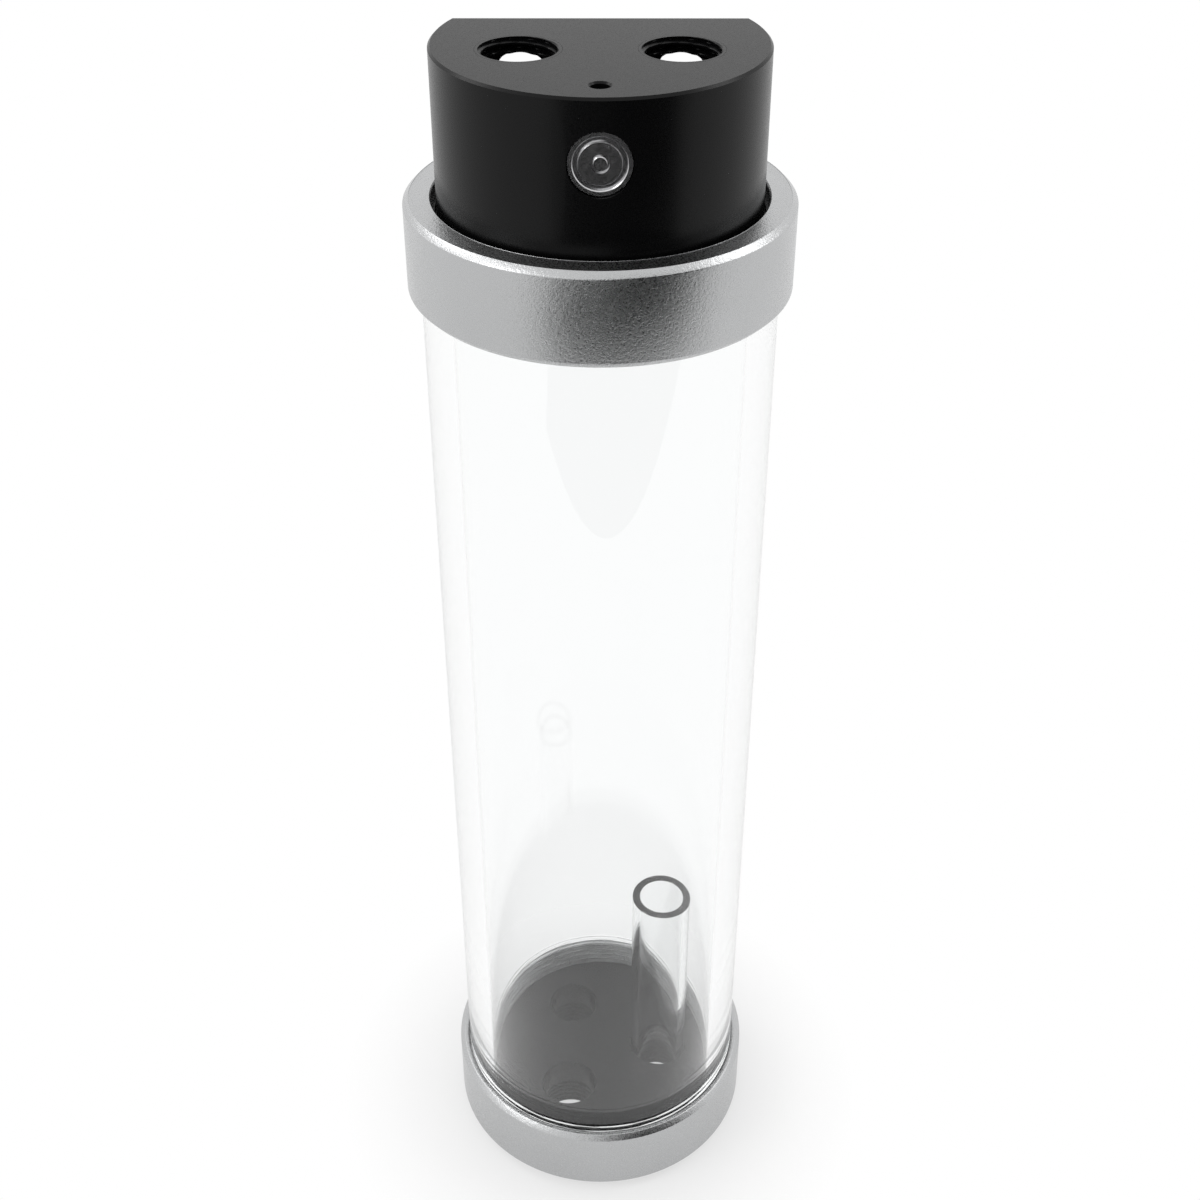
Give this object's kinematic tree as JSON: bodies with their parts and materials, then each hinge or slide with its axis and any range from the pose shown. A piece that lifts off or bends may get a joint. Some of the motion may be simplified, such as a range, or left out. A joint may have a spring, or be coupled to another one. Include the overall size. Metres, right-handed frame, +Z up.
{
  "type": "coolant reservoir",
  "caption": "Clear tubular coolant reservoir with screwed metal end collars, a black D-shaped head block with ports on top and back, and a ported base with a stand pipe.",
  "frame": {"origin": "centre of the base plug's foot, on the surface that it stands on", "axes": "+Z up along the tube; +Y out of the head block's flat back with the rear ports; -Y is the badge side; +X towards the stand pipe"},
  "size_m": [0.0644, 0.0644, 0.243],
  "materials": {
    "black_acetal": "satin turned black plastic",
    "badge_metal": "satin",
    "black_steel": "black oxide",
    "blasted_aluminium": "fine bead blasted, silver anodised",
    "slip_polymer": "smooth low-friction plastic",
    "seal_rubber": "smooth moulded rubber",
    "clear_acrylic": "polished clear acrylic",
    "clear_pipe": "polished clear acrylic"
  },
  "bodies": {
    "vessel": {"reservoir_tube": "clear_acrylic", "base_plug": "black_acetal", "base_face_seal": "seal_rubber", "stand_pipe": "clear_pipe", "stand_pipe_seal": "seal_rubber"},
    "head": {"head_block": "black_acetal", "head_badge": "badge_metal", "badge_set_screw": "black_steel", "head_face_seal": "seal_rubber"},
    "head_slip": {"head_slip_ring": "slip_polymer"},
    "head_nut": {"head_collar": "blasted_aluminium"},
    "base_slip": {"base_slip_ring": "slip_polymer"},
    "base_nut": {"base_collar": "blasted_aluminium"}
  },
  "joints": [
    {"name": "head_swivel", "type": "hinge", "parent": "vessel", "child": "head", "pos_m": [0, 0, 0.2127], "axis": [0, 0, 1], "continuous": true},
    {"name": "head_collar_lift", "type": "slide", "parent": "vessel", "child": "head_slip", "axis": [0, 0, 1], "range_m": [0, 0.009]},
    {"name": "head_collar_turn", "type": "hinge", "parent": "head_slip", "child": "head_nut", "pos_m": [0, 0, 0.2127], "axis": [0, 0, 1], "range_deg": [0, 2160]},
    {"name": "base_collar_drop", "type": "slide", "parent": "vessel", "child": "base_slip", "axis": [0, 0, -1], "range_m": [0, 0.009]},
    {"name": "base_collar_turn", "type": "hinge", "parent": "base_slip", "child": "base_nut", "pos_m": [0, 0, 0.0077], "axis": [0, 0, -1], "range_deg": [0, 2160]}
  ],
  "couplings": [
    {"joint": "head_collar_lift", "follows": "head_collar_turn", "m_per_rad": 0.00023873},
    {"joint": "base_collar_drop", "follows": "base_collar_turn", "m_per_rad": 0.00023873}
  ]
}
